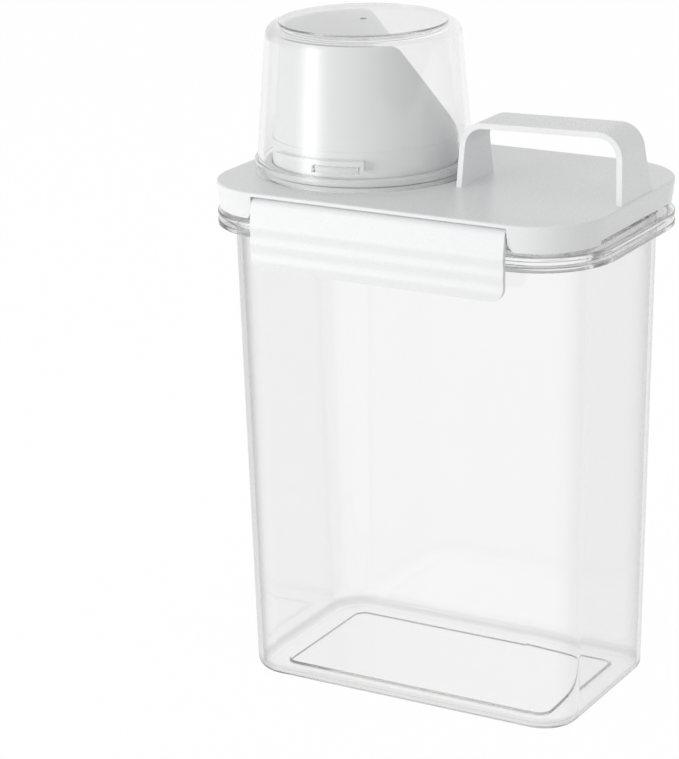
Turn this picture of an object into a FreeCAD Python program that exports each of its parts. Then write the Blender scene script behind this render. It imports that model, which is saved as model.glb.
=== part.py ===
import FreeCAD, Part
import math
import os
import Sketcher
from types import SimpleNamespace
from FreeCAD import Placement, Rotation, Vector

# A laundry detergent dispenser: a clear box with a clip-on lid, a pouring spout in the lid and a
# measuring cup that locks over the spout.  Lengths are in millimetres and angles in degrees.
# The origin is the middle of the underside, +Z is up, the handle stands towards +X and the spout
# towards -X, and the two latches face -Y and +Y.

SHEET_NAME = "sizes"
# how many flat strips make the latch's wavy face, and how far a cut runs past what it cuts
LATCH_FACETS = 6
CUT_PAST = 1.0

SIZES = {
    # the clear box, outside, and how far each side has flared out at the rim
    "box_length": 132.4,
    "box_width": 78.4,
    "box_corner": 14.0,
    "box_flare": 3.65,
    "box_wall": 1.8,
    "foot_round": 4.3,
    "shoulder_height": 173.4,
    # the panel pressed up into the box's floor
    "panel_end_margin": 12.55,
    "panel_side_margin": 11.7,
    "panel_corner": 8.0,
    "panel_rise": 1.4,
    # the rim: two lips with a groove between, and a neck above them
    "rim_end_reach": 7.65,
    "rim_side_reach": 7.85,
    "rim_corner": 29.0,
    "lower_lip": 1.9,
    "rim_groove": 1.9,
    "upper_lip": 1.4,
    "groove_depth": 3.0,
    "neck_rise": 5.6,
    # the lid
    "lid_gap": 1.6,
    "lid_depth": 9.8,
    "lid_end_inset": 1.4,
    "lid_side_reach": 1.0,
    "lid_corner_step": 2.5,
    "lid_draft": 1.3,
    "lid_plate": 2.2,
    "lid_wall": 2.0,
    "lid_edge_round": 0.9,
    "plug_gap": 0.5,
    "plug_wall": 1.6,
    "plug_depth": 11.6,
    "notch_margin": 23.7,
    "notch_height": 1.5,
    # the handle moulded on the lid
    "handle_end_inset": 1.1,
    "handle_rise": 24.6,
    "handle_band": 2.1,
    "handle_foot_width": 25.0,
    "handle_grip_width": 19.0,
    "handle_corner": 9.0,
    "handle_flare": 15.6,
    "handle_lean": 2.1,
    "handle_fall": 1.6,
    "handle_foot_round": 0.8,
    # the gasket under the lid's plate
    "gasket_width": 3.0,
    "gasket_room": 0.45,
    "soft_gap": 0.3,
    # the two latches
    "latch_overrun": 0.3,
    "latch_tail": 10.6,
    "latch_plate": 2.0,
    "latch_corner": 5.0,
    "latch_wave": 0.35,
    "latch_clearance": 0.3,
    "barrel_radius": 2.7,
    "barrel_below_roof": 0.5,
    "bay_roof": 1.4,
    "bay_side_gap": 0.4,
    "bay_flare": 2.0,
    "pin_radius": 1.1,
    "pin_length": 2.4,
    "pin_clearance": 0.1,
    "hook_width": 60.0,
    "hook_reach": 2.1,
    "hook_height": 1.1,
    # the pouring spout
    "spout_wall": 1.8,
    "spout_turn": 38.0,
    "spout_rise": 50.2,
    "spout_taper": 3.25,
    "spigot_inset": 4.0,
    "spigot_gap": 0.3,
    "snap_height": 0.9,
    "snap_reach": 0.8,
    "foot_flange_reach": 2.4,
    "foot_flange_height": 1.2,
    "collar_radius": 33.6,
    "collar_step": 0.4,
    "collar_rise": 13.2,
    "cut_start": 6.95,
    "cut_round": 5.0,
    "rib_start": -120.0,
    "rib_span": 57.0,
    "rib_height": 1.6,
    "rib_rise": 9.0,
    "stop_span": 3.0,
    "stop_drop": 3.4,
    "bayonet_gap": 0.4,
    # the measuring cup, standing upside down over the spout
    "bayonet_space": 3.7,
    "cup_margin": 3.5,
    "cup_wall": 1.9,
    "cup_taper": 4.1,
    "cup_headroom": 1.5,
    "cup_edge_round": 2.8,
    "cup_rim_reach": 0.9,
    "cup_rim_height": 4.3,
    "cup_dish_margin": 5.8,
    "cup_dish_depth": 0.9,
    "gate_radius": 1.5,
    "gate_height": 0.3,
    "lug_span": 27.0,
    "lug_to_stop": 1.0,
    "lug_height": 2.3,
    # the ring that the cup closes on
    "ring_height": 2.5,
}


class Size:
    """A length kept both as the expression that binds it and as its present value."""

    def __init__(self, text, value):
        self.text = text
        self.value = value

    def joined(self, sign, other, value):
        return Size(f"({self.text} {sign} {as_size(other).text})", value)

    def __add__(self, other):
        return self.joined("+", other, self.value + as_size(other).value)

    def __sub__(self, other):
        return self.joined("-", other, self.value - as_size(other).value)

    def __mul__(self, other):
        return self.joined("*", other, self.value * as_size(other).value)

    def __truediv__(self, other):
        return self.joined("/", other, self.value / as_size(other).value)

    def __neg__(self):
        return Size(f"(0 - {self.text})", -self.value)

    def slope_over(self, height):
        """The angle of a wall that moves out by this length over a height."""
        angle = math.degrees(math.atan(self.value / height.value))
        return Size(f"atan({self.text} / {height.text})", angle)


def as_size(number):
    """A plain number as a Size, so that the two can be mixed."""
    return number if isinstance(number, Size) else Size(f"{float(number)}", float(number))


def make_sheet(document):
    """Put every driving size in the spreadsheet and return them all by name."""
    sheet = document.addObject("Spreadsheet::Sheet", SHEET_NAME)
    sizes = SimpleNamespace()
    for row, (alias, number) in enumerate(SIZES.items(), start=1):
        sheet.set(f"A{row}", alias)
        sheet.set(f"B{row}", str(number))
        sheet.setAlias(f"B{row}", alias)
        setattr(sizes, alias, Size(f"{SHEET_NAME}.{alias}", number))
    document.recompute()
    return sizes


def add_levels(s):
    """Work out the heights and outlines that several pieces share."""
    s.rim_top = s.shoulder_height + s.lower_lip + s.rim_groove + s.upper_lip
    s.neck_top = s.rim_top + s.neck_rise
    s.skirt_bottom = s.rim_top + s.lid_gap
    s.lid_top = s.skirt_bottom + s.lid_depth
    s.lid_underside = s.lid_top - s.lid_plate
    # each outline is a length, a width and a corner radius
    s.neck = grown((s.box_length, s.box_width, s.box_corner), s.box_flare)
    s.mouth = grown(s.neck, -s.box_wall)
    s.plug = grown(s.mouth, -s.plug_gap)
    s.gasket = grown(s.plug, s.gasket_width)
    neck_length, neck_width, _ = s.neck
    rim_width = neck_width + s.rim_side_reach * 2
    s.rim = (neck_length + s.rim_end_reach * 2, rim_width, s.rim_corner)
    s.lid_length = s.rim[0] - s.lid_end_inset * 2
    s.lid_width = rim_width + s.lid_side_reach * 2
    s.lid_corner = s.rim_corner - s.lid_corner_step
    # a latch's plate hangs just outside the rim, and its barrel lies flush with the lid's edge
    s.latch_inner = rim_width / 2 + s.latch_clearance
    s.latch_outer = s.latch_inner + s.latch_plate
    s.latch_width = s.lid_length - (s.lid_corner - s.latch_overrun) * 2
    s.latch_bottom = s.shoulder_height - s.latch_tail
    s.bay_ceiling = s.lid_top - s.bay_roof
    s.hinge_height = s.bay_ceiling - s.barrel_below_roof - s.barrel_radius
    s.hinge_depth = s.lid_width / 2 - s.barrel_radius
    s.bay_depth = s.hinge_depth - s.barrel_radius - s.latch_clearance
    s.bay_half = s.latch_width / 2 + s.bay_side_gap
    # the cup clears the spout all round, and stands as far from the lid's end as from the handle
    s.collar_top = s.lid_top + s.collar_rise
    s.spout_top = s.lid_top + s.spout_rise
    s.cup_bottom = s.lid_top + s.soft_gap
    s.cup_rim_top = s.cup_bottom + s.cup_rim_height
    s.cup_ceiling = s.spout_top + s.cup_headroom
    s.cup_top = s.cup_ceiling + s.cup_wall + s.cup_dish_depth
    s.cup_inner = s.collar_radius + s.bayonet_space
    s.cup_radius = s.cup_inner + s.cup_wall
    s.cup_rim_radius = s.cup_radius + s.cup_rim_reach
    s.cup_top_radius = s.cup_radius - s.cup_taper
    s.spout_offset = s.lid_length / 2 - s.cup_margin - s.cup_rim_radius
    s.handle_near = s.cup_rim_radius + s.cup_margin - s.spout_offset
    s.handle_far = s.lid_length / 2 - s.handle_end_inset
    # the bayonet: ribs on the spout's collar above lugs on the cup's wall, turned up to the stops
    s.rib_bottom = s.lid_top + s.rib_rise
    s.rib_top = s.rib_bottom + s.rib_height
    s.rib_radius = s.cup_inner - s.bayonet_gap - s.soft_gap * 2
    s.lug_top = s.rib_bottom - s.soft_gap
    s.lug_bottom = s.lug_top - s.lug_height
    s.lug_radius = s.collar_radius + s.bayonet_gap
    s.lug_start = s.rib_start + s.rib_span - s.lug_to_stop - s.lug_span
    return s


def new_body(document, label, along_x=None):
    """A body named after its piece, moved along X where the piece stands off the middle."""
    body = document.addObject("PartDesign::Body", label)
    body.Label = label
    if along_x is not None:
        body.setExpression("Placement.Base.x", along_x.text)
    return body


def new_sketch(body, name, plane, offset=0.0, turn=None):
    """A sketch on one of the body's own planes, set off along it and turned about the vertical."""
    sketch = body.newObject("Sketcher::SketchObject", name)
    base = next(item for item in body.Origin.OriginFeatures if item.Role == plane)
    sketch.AttachmentSupport = [(base, "")]
    sketch.MapMode = "FlatFace"
    if turn is not None:
        sketch.AttachmentOffset = Placement(Vector(), Rotation(Vector(0, 1, 0), turn.value))
        sketch.setExpression("AttachmentOffset.Rotation.Angle", turn.text)
    sketch.setExpression("AttachmentOffset.Base.z", as_size(offset).text)
    return sketch


def constrain(sketch, *arguments):
    """Add a constraint whose last argument is a Size, and bind it to that Size."""
    size = arguments[-1]
    index = sketch.addConstraint(Sketcher.Constraint(*arguments[:-1], size.value))
    sketch.setExpression(f"Constraints[{index}]", size.text)


def draw_outline(sketch, points):
    """Draw a closed outline through points, each a pair of Sizes or numbers from the origin."""
    corners = [(as_size(across), as_size(up)) for across, up in points]
    places = [Vector(across.value, up.value, 0) for across, up in corners]
    lines = []
    for start, end in zip(places, places[1:] + places[:1]):
        lines.append(sketch.addGeometry(Part.LineSegment(start, end), False))
    for line, following in zip(lines, lines[1:] + lines[:1]):
        sketch.addConstraint(Sketcher.Constraint("Coincident", line, 2, following, 1))
    for line, (across, up) in zip(lines, corners):
        constrain(sketch, "DistanceX", -1, 1, line, 1, across)
        constrain(sketch, "DistanceY", -1, 1, line, 1, up)


def draw_rounded_rectangle(sketch, length, width, corner):
    """Draw a rounded rectangle centred on the sketch's origin."""
    half_length, half_width, radius = length.value / 2, width.value / 2, corner.value
    flat_x, flat_y = half_length - radius, half_width - radius
    turns = [(flat_x, -flat_y, -90), (flat_x, flat_y, 0), (-flat_x, flat_y, 90), (-flat_x, -flat_y, 180)]
    sides = [
        (Vector(-flat_x, -half_width, 0), Vector(flat_x, -half_width, 0)),
        (Vector(half_length, -flat_y, 0), Vector(half_length, flat_y, 0)),
        (Vector(flat_x, half_width, 0), Vector(-flat_x, half_width, 0)),
        (Vector(-half_length, flat_y, 0), Vector(-half_length, -flat_y, 0)),
    ]
    lines = [sketch.addGeometry(Part.LineSegment(start, end), False) for start, end in sides]
    arcs = []
    for centre_x, centre_y, start in turns:
        circle = Part.Circle(Vector(centre_x, centre_y, 0), Vector(0, 0, 1), radius)
        arc = Part.ArcOfCircle(circle, math.radians(start), math.radians(start + 90))
        arcs.append(sketch.addGeometry(arc, False))
    for line, arc, following in zip(lines, arcs, lines[1:] + lines[:1]):
        sketch.addConstraint(Sketcher.Constraint("Tangent", line, 2, arc, 1))
        sketch.addConstraint(Sketcher.Constraint("Tangent", arc, 2, following, 1))
    sketch.addConstraint(Sketcher.Constraint("Horizontal", lines[2]))
    sketch.addConstraint(Sketcher.Constraint("Vertical", lines[3]))
    for arc in arcs[1:]:
        sketch.addConstraint(Sketcher.Constraint("Equal", arcs[0], arc))
    sketch.addConstraint(Sketcher.Constraint("Symmetric", lines[0], 1, lines[0], 2, -2))
    sketch.addConstraint(Sketcher.Constraint("Symmetric", lines[1], 1, lines[1], 2, -1))
    constrain(sketch, "Radius", arcs[0], corner)
    constrain(sketch, "DistanceX", lines[3], 1, lines[1], 1, length)
    constrain(sketch, "DistanceY", lines[0], 1, lines[2], 1, width)


def draw_circle(sketch, radius, across=None, up=None):
    """Draw a circle at the sketch's origin, or at a place measured from it."""
    across, up = as_size(across or 0.0), as_size(up or 0.0)
    circle = Part.Circle(Vector(across.value, up.value, 0), Vector(0, 0, 1), radius.value)
    index = sketch.addGeometry(circle, False)
    constrain(sketch, "Radius", index, radius)
    constrain(sketch, "DistanceX", -1, 1, index, 3, across)
    constrain(sketch, "DistanceY", -1, 1, index, 3, up)


def extrude(body, kind, name, sketch, length, both_ways=False, turned=False):
    """A Pad or Pocket of a sketch over a bound length."""
    feature = body.newObject(f"PartDesign::{kind}", name)
    feature.Profile = sketch
    feature.Type = 0
    feature.Length = length.value
    feature.Midplane = both_ways
    feature.Reversed = turned
    feature.setExpression("Length", length.text)
    sketch.Visibility = False
    return feature


def spin(body, kind, name, sketch, angle=None):
    """A Revolution or Groove about the vertical, a whole turn unless an angle is given."""
    feature = body.newObject(f"PartDesign::{kind}", name)
    feature.Profile = sketch
    feature.ReferenceAxis = (sketch, ["V_Axis"])
    feature.Angle = 360.0
    if angle is not None:
        feature.Angle = angle.value
        feature.setExpression("Angle", angle.text)
    return feature


def rounded_block(body, name, level, length, width, corner, height):
    """A rounded rectangle padded upwards from a level."""
    sketch = new_sketch(body, f"{name}_outline", "XY_Plane", level)
    draw_rounded_rectangle(sketch, length, width, corner)
    return extrude(body, "Pad", name, sketch, height)


def grown(outline, growth):
    """The length, width and corner of a rounded rectangle moved out all round by a growth."""
    length, width, corner = outline
    return length + growth * 2, width + growth * 2, corner + growth


def rounded_ring(body, name, level, outer, inner, height, downwards=False):
    """A ring padded from a level between two rounded rectangles, each a length, width and corner."""
    sketch = new_sketch(body, f"{name}_outline", "XY_Plane", level)
    draw_rounded_rectangle(sketch, *outer)
    draw_rounded_rectangle(sketch, *inner)
    return extrude(body, "Pad", name, sketch, height, turned=downwards)


def flare_sides(document, body, name, flare, height, inner=False):
    """Give the upright sides made last a draft outwards, from their lowest edges up."""
    document.recompute()
    base = body.Tip
    sides, floors = [], []
    for number, face in enumerate(base.Shape.Faces, start=1):
        across, along = ((face.ParameterRange[at] + face.ParameterRange[at + 1]) / 2 for at in (0, 2))
        normal, place = face.normalAt(across, along), face.valueAt(across, along)
        if abs(normal.z) > 0.9:
            floors.append((place.z, f"Face{number}"))
        elif abs(normal.z) < 0.001 and (normal.dot(Vector(place.x, place.y, 0)) < 0) == inner:
            sides.append(f"Face{number}")
    draft = body.newObject("PartDesign::Draft", name)
    draft.Base = (base, sides)
    draft.NeutralPlane = (base, [sorted(floors)[1 if inner else 0][1]])
    angle = flare.slope_over(height)
    draft.Angle = angle.value
    draft.Reversed = not inner
    draft.setExpression("Angle", angle.text)
    return draft


def mirror_across_xz(body, name, features):
    """Repeat features on the other side of the XZ plane."""
    mirrored = body.newObject("PartDesign::Mirrored", name)
    plane = next(item for item in body.Origin.OriginFeatures if item.Role == "XZ_Plane")
    mirrored.Originals = features
    mirrored.MirrorPlane = (plane, [""])
    body.Tip = mirrored
    return mirrored


def twice_about_z(body, name, features):
    """Repeat features once more, half a turn on about the vertical."""
    pattern = body.newObject("PartDesign::PolarPattern", name)
    axis = next(item for item in body.Origin.OriginFeatures if item.Role == "Z_Axis")
    pattern.Originals = features
    pattern.Axis = (axis, [""])
    pattern.Angle = 360.0
    pattern.Occurrences = 2
    body.Tip = pattern
    return pattern


def round_edges(document, body, name, radius, is_chosen):
    """Fillet the edges of the body so far whose two ends and middle pass a test."""
    document.recompute()
    base = body.Tip
    names = []
    for number, edge in enumerate(base.Shape.Edges, start=1):
        middle = edge.valueAt((edge.FirstParameter + edge.LastParameter) / 2)
        places = [vertex.Point for vertex in edge.Vertexes] + [middle]
        if all(is_chosen(place) for place in places):
            names.append(f"Edge{number}")
    fillet = body.newObject("PartDesign::Fillet", name)
    fillet.Base = (base, names)
    fillet.Radius = radius.value
    fillet.setExpression("Radius", radius.text)
    return fillet


def near(value, size, margin=0.02):
    """Whether a coordinate lies at a size."""
    return abs(value - as_size(size).value) < margin


def make_container(document, s):
    """The clear box: flared walls, a raised floor panel, a double-lipped rim and a neck."""
    body = new_body(document, "container")
    rounded_block(body, "box", 0.0, s.box_length, s.box_width, s.box_corner, s.shoulder_height)
    flare_sides(document, body, "box_flaring", s.box_flare, s.shoulder_height)
    round_edges(document, body, "foot_rounding", s.foot_round, lambda place: near(place.z, 0))
    twice_wall = s.box_wall * 2
    floor_flare = s.box_flare * 2 * s.box_wall / s.shoulder_height
    inside = new_sketch(body, "inside_outline", "XY_Plane", s.box_wall)
    draw_rounded_rectangle(inside, s.box_length - twice_wall + floor_flare,
                           s.box_width - twice_wall + floor_flare,
                           s.box_corner - s.box_wall + floor_flare / 2)
    extrude(body, "Pocket", "inside", inside, s.shoulder_height - s.box_wall, turned=True)
    flare_sides(document, body, "inside_flaring", s.box_flare, s.shoulder_height, inner=True)
    round_edges(document, body, "floor_rounding", s.foot_round - s.box_wall,
                lambda place: near(place.z, s.box_wall))
    rounded_ring(body, "neck", s.shoulder_height, s.neck, s.mouth, s.neck_top - s.shoulder_height)

    # the rim stands out from the middle of the neck's wall as two lips with a groove between
    half_wall = s.box_wall / 2
    inside_wall = grown(s.neck, -half_wall)
    groove_bottom = s.shoulder_height + s.lower_lip
    rounded_ring(body, "lower_lip_ring", s.shoulder_height, s.rim, inside_wall, s.lower_lip)
    rounded_ring(body, "rim_core", groove_bottom, grown(s.rim, -s.groove_depth), inside_wall, s.rim_groove)
    rounded_ring(body, "upper_lip_ring", groove_bottom + s.rim_groove, s.rim, inside_wall, s.upper_lip)

    recess = new_sketch(body, "panel_recess_outline", "XY_Plane")
    panel = (s.box_length - s.panel_end_margin * 2, s.box_width - s.panel_side_margin * 2, s.panel_corner)
    draw_rounded_rectangle(recess, *panel)
    extrude(body, "Pocket", "panel_recess", recess, s.panel_rise, turned=True)
    rounded_block(body, "panel", s.panel_rise, *grown(panel, half_wall), s.box_wall)
    return body


def make_lid(document, s):
    """The lid in one moulding: skirt, latch bays, plug wall, spout hole and handle."""
    body = new_body(document, "lid")
    twice_draft = s.lid_draft * 2
    rounded_block(body, "lid_block", s.skirt_bottom, s.lid_length - twice_draft, s.lid_width - twice_draft,
                  s.lid_corner - s.lid_draft, s.lid_depth)
    flare_sides(document, body, "skirt_flaring", s.lid_draft, s.lid_depth)
    round_edges(document, body, "edge_rounding", s.lid_edge_round, lambda place: near(place.z, s.lid_top))

    # the hollow takes the gasket and stops at the back walls of the latch bays
    hollow = new_sketch(body, "hollow_outline", "XY_Plane", s.skirt_bottom)
    _, hollow_width, hollow_corner = grown(s.gasket, s.gasket_room)
    draw_rounded_rectangle(hollow, s.lid_length - twice_draft - s.lid_wall * 2, hollow_width, hollow_corner)
    extrude(body, "Pocket", "hollow", hollow, s.lid_underside - s.skirt_bottom, turned=True)

    notch = new_sketch(body, "hem_notch_outline", "YZ_Plane", s.lid_length / 2 - s.lid_wall - twice_draft)
    notch_half = s.lid_width / 2 - s.notch_margin
    notch_top = s.skirt_bottom + s.notch_height
    draw_outline(notch, [(-notch_half, s.skirt_bottom - CUT_PAST), (notch_half, s.skirt_bottom - CUT_PAST),
                         (notch_half, notch_top), (-notch_half, notch_top)])
    extrude(body, "Pocket", "hem_notch", notch, s.lid_wall * 3, turned=True)

    # the bay for the latch at +Y, its ends flaring out below the hinge pins
    bay = new_sketch(body, "bay_outline", "XZ_Plane", -s.bay_depth)
    flare_top = s.hinge_height - s.barrel_radius
    flare_half = s.bay_half + s.bay_flare
    below = s.skirt_bottom - CUT_PAST
    draw_outline(bay, [(-flare_half, below), (flare_half, below), (flare_half, s.skirt_bottom),
                       (s.bay_half, flare_top), (s.bay_half, s.bay_ceiling), (-s.bay_half, s.bay_ceiling),
                       (-s.bay_half, flare_top), (-flare_half, s.skirt_bottom)])
    bay_cut = extrude(body, "Pocket", "bay", bay, s.lid_width / 2)
    bores = new_sketch(body, "pin_bore_outline", "YZ_Plane")
    draw_circle(bores, s.pin_radius + s.pin_clearance, s.hinge_depth, s.hinge_height)
    bore_reach = (s.bay_half + s.pin_length) * 2
    bore_cut = extrude(body, "Pocket", "pin_bores", bores, bore_reach, both_ways=True)
    mirror_across_xz(body, "both_bays", [bay_cut, bore_cut])

    rounded_ring(body, "plug_wall_ring", s.lid_underside, s.plug, grown(s.plug, -s.plug_wall),
                 s.plug_depth, downwards=True)

    hole = new_sketch(body, "spout_hole_outline", "XY_Plane", s.lid_top)
    draw_circle(hole, s.collar_radius - s.spigot_inset + s.spigot_gap, -s.spout_offset)
    extrude(body, "Pocket", "spout_hole", hole, s.lid_plate)

    make_handle(document, body, s)
    return body


def make_handle(document, body, s):
    """The arched handle: a thin band whose legs widen towards the lid."""
    arch = new_sketch(body, "arch_outline", "XZ_Plane")
    top = s.lid_top + s.handle_rise
    near_top = top - s.handle_fall
    far_top = s.handle_far - s.handle_lean
    foot = s.lid_top - s.lid_plate / 2
    band = s.handle_band
    draw_outline(arch, [(s.handle_near, foot), (s.handle_near, near_top), (far_top, top),
                        (s.handle_far, s.lid_top), (s.handle_far, foot),
                        (s.handle_far - band, foot), (s.handle_far - band, s.lid_top), (far_top - band, top - band),
                        (s.handle_near + band, near_top - band), (s.handle_near + band, foot)])
    extrude(body, "Pad", "arch", arch, s.handle_foot_width, both_ways=True)

    # cut each side of the band back to the grip's width, widening again towards the lid
    trim = new_sketch(body, "grip_trim_outline", "YZ_Plane", s.handle_near - s.handle_band)
    grip_half, foot_half = s.handle_grip_width / 2, s.handle_foot_width / 2
    draw_outline(trim, [(grip_half, s.lid_top + s.handle_flare), (grip_half, top + CUT_PAST),
                        (foot_half + CUT_PAST, top + CUT_PAST), (foot_half + CUT_PAST, s.lid_top),
                        (foot_half, s.lid_top)])
    trim_cut = extrude(body, "Pocket", "grip_trim", trim, s.handle_far, turned=True)
    mirror_across_xz(body, "grip_trims", [trim_cut])

    def is_outer_corner(place):
        at_far = near(place.x, far_top) and near(place.z, top)
        return at_far or (near(place.x, s.handle_near) and near(place.z, near_top))

    def is_inner_corner(place):
        at_far = near(place.x, far_top - band) and near(place.z, top - band)
        return at_far or (near(place.x, s.handle_near + band) and near(place.z, near_top - band))

    def is_foot(place):
        inside_x = s.handle_near.value - 0.1 < place.x < s.handle_far.value - 0.1
        return near(place.z, s.lid_top) and inside_x and abs(place.y) < foot_half.value + 0.1

    round_edges(document, body, "inner_corners", s.handle_corner - s.handle_band, is_inner_corner)
    round_edges(document, body, "outer_corners", s.handle_corner, is_outer_corner)
    round_edges(document, body, "foot_blends", s.handle_foot_round, is_foot)


def make_gasket(document, s):
    """The silicone ring that lies round the plug wall, under the lid's plate."""
    body = new_body(document, "lid_gasket")
    rounded_ring(body, "gasket", s.lid_underside, s.gasket, s.plug,
                 s.lid_underside - s.neck_top - s.soft_gap, downwards=True)
    return body


def make_latch(document, s, label, half_turn):
    """A latch as it hangs on the +Y side, turned round half a turn for the other side."""
    body = new_body(document, label)
    if half_turn:
        body.Placement = Placement(Vector(), Rotation(Vector(0, 0, 1), 180))
    barrel = new_sketch(body, "barrel_outline", "YZ_Plane")
    draw_circle(barrel, s.barrel_radius, s.hinge_depth, s.hinge_height)
    extrude(body, "Pad", "barrel", barrel, s.latch_width, both_ways=True)
    pins = new_sketch(body, "pins_outline", "YZ_Plane")
    draw_circle(pins, s.pin_radius, s.hinge_depth, s.hinge_height)
    extrude(body, "Pad", "pins", pins, s.latch_width + s.pin_length * 2, both_ways=True)

    # the plate: a flat inner face, and an outer face of shallow hollows between four ridges
    plate = new_sketch(body, "plate_outline", "YZ_Plane")
    ridge_top = s.hinge_height - s.barrel_radius - s.latch_plate
    step = (ridge_top - s.latch_bottom) / LATCH_FACETS
    outline = [(s.latch_inner, s.latch_bottom), (s.latch_outer - s.latch_wave, s.latch_bottom)]
    for number in range(1, LATCH_FACETS + 1):
        inset = s.latch_wave if number % 2 == 0 else as_size(0.0)
        outline.append((s.latch_outer - inset, s.latch_bottom + step * number))
    outline += [(s.hinge_depth + s.barrel_radius, s.hinge_height), (s.hinge_depth, s.hinge_height),
                (s.hinge_depth, s.hinge_height - s.barrel_radius), (s.latch_inner, ridge_top)]
    draw_outline(plate, outline)
    extrude(body, "Pad", "plate", plate, s.latch_width, both_ways=True)

    hook = new_sketch(body, "hook_outline", "YZ_Plane")
    hook_top = s.shoulder_height - s.latch_clearance
    hook_tip = s.latch_inner - s.hook_reach
    hook_foot = hook_top - s.hook_height - s.hook_reach
    inside_plate = s.latch_inner + s.latch_plate / 2
    draw_outline(hook, [(hook_tip, hook_top), (inside_plate, hook_top), (inside_plate, hook_foot),
                        (s.latch_inner, hook_foot), (hook_tip, hook_top - s.hook_height)])
    extrude(body, "Pad", "hook", hook, s.hook_width, both_ways=True)

    def is_lower_corner(place):
        return near(place.z, s.latch_bottom) and near(abs(place.x), s.latch_width / 2)

    round_edges(document, body, "lower_corners", s.latch_corner, is_lower_corner)
    return body


def make_spout(document, s):
    """The pouring spout: spigot, snap bead, foot flange, collar, slanted lip and bayonet ribs."""
    body = new_body(document, "spout", -s.spout_offset)
    wall = s.spout_wall
    spigot = s.collar_radius - s.spigot_inset
    bore = spigot - wall
    flange = s.collar_radius + s.foot_flange_reach
    flange_top = s.lid_top + s.foot_flange_height
    bead_top = s.lid_underside - s.spigot_gap
    bead_bottom = bead_top - s.snap_height
    cone_foot = s.collar_radius - s.collar_step
    cone_top = cone_foot - s.spout_taper
    section = new_sketch(body, "spout_section", "XZ_Plane")
    draw_outline(section, [
        (bore, bead_bottom - s.snap_height), (spigot - s.spigot_gap, bead_bottom - s.snap_height),
        (spigot + s.snap_reach, bead_bottom), (spigot + s.snap_reach, bead_top), (spigot, bead_top),
        (spigot, s.lid_top), (flange, s.lid_top), (flange, flange_top), (s.collar_radius, flange_top),
        (s.collar_radius, s.collar_top), (cone_foot, s.collar_top), (cone_top, s.spout_top),
        (cone_top - wall, s.spout_top), (cone_foot - wall, s.collar_top),
        (cone_foot - wall, flange_top + wall), (bore, flange_top),
    ])
    spin(body, "Revolution", "spout_wall_of_revolution", section)

    cut = new_sketch(body, "lip_cut_outline", "XZ_Plane", turn=s.spout_turn)
    beyond = s.collar_radius + wall
    above = s.spout_top + CUT_PAST
    draw_outline(cut, [(s.cut_start, s.spout_top), (s.collar_radius, s.collar_top), (beyond, s.collar_top),
                       (beyond, above), (s.cut_start, above)])
    extrude(body, "Pocket", "lip_cut", cut, s.collar_radius * 3, both_ways=True)

    facing = Rotation(Vector(0, 0, 1), s.spout_turn.value).multVec(Vector(1, 0, 0))

    def is_cut_corner(place):
        return near(place.z, s.spout_top) and near(place.dot(facing), s.cut_start)

    round_edges(document, body, "cut_corners", s.cut_round, is_cut_corner)

    rib = new_sketch(body, "rib_section", "XZ_Plane", turn=s.rib_start)
    root = s.collar_radius - wall / 2
    draw_outline(rib, [(root, s.rib_bottom), (s.rib_radius, s.rib_bottom), (s.rib_radius, s.rib_top),
                       (root, s.rib_top)])
    rib_ring = spin(body, "Revolution", "rib", rib, s.rib_span)
    stop = new_sketch(body, "stop_section", "XZ_Plane", turn=s.rib_start + s.rib_span)
    draw_outline(stop, [(root, s.rib_bottom - s.stop_drop), (s.rib_radius, s.rib_bottom - s.stop_drop),
                        (s.rib_radius, s.rib_top), (root, s.rib_top)])
    stop_block = spin(body, "Revolution", "stop", stop, s.stop_span)
    twice_about_z(body, "both_ribs", [rib_ring, stop_block])
    return body


def make_cup_ring(document, s):
    """The sealing ring round the spout's collar, on its foot flange, inside the cup's rim."""
    body = new_body(document, "cup_ring", -s.spout_offset)
    section = new_sketch(body, "ring_section", "XZ_Plane")
    bottom = s.lid_top + s.foot_flange_height + s.soft_gap
    inner, outer = s.collar_radius + s.soft_gap, s.cup_inner - s.soft_gap
    draw_outline(section, [(inner, bottom), (outer, bottom), (outer, bottom + s.ring_height),
                           (inner, bottom + s.ring_height)])
    spin(body, "Revolution", "ring", section)
    return body


def make_cup(document, s):
    """The clear measuring cup, upside down: rim, tapered wall, dished end, gate mark and lugs."""
    body = new_body(document, "measuring_cup", -s.spout_offset)
    section = new_sketch(body, "cup_section", "XZ_Plane")
    dish_radius = s.cup_top_radius - s.cup_dish_margin
    dish_floor = s.cup_top - s.cup_dish_depth
    draw_outline(section, [
        (s.cup_inner, s.cup_bottom), (s.cup_rim_radius, s.cup_bottom), (s.cup_rim_radius, s.cup_rim_top),
        (s.cup_radius, s.cup_rim_top), (s.cup_top_radius, s.cup_top), (dish_radius, s.cup_top),
        (dish_radius, dish_floor), (0, dish_floor), (0, s.cup_ceiling),
        (s.cup_top_radius - s.cup_wall, s.cup_ceiling), (s.cup_inner, s.cup_rim_top),
    ])
    spin(body, "Revolution", "cup_wall_of_revolution", section)

    def is_top_edge(place):
        return near(place.z, s.cup_top) and near(math.hypot(place.x, place.y), s.cup_top_radius)

    round_edges(document, body, "top_rounding", s.cup_edge_round, is_top_edge)
    gate = new_sketch(body, "gate_outline", "XY_Plane", dish_floor)
    draw_circle(gate, s.gate_radius)
    extrude(body, "Pad", "gate_mark", gate, s.gate_height)

    lug = new_sketch(body, "lug_section", "XZ_Plane", turn=s.lug_start)
    root = s.cup_inner + s.cup_wall / 2
    draw_outline(lug, [(s.lug_radius, s.lug_bottom), (root, s.lug_bottom), (root, s.lug_top),
                       (s.lug_radius, s.lug_top)])
    lug_ring = spin(body, "Revolution", "lug", lug, s.lug_span)
    twice_about_z(body, "both_lugs", [lug_ring])
    return body


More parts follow.
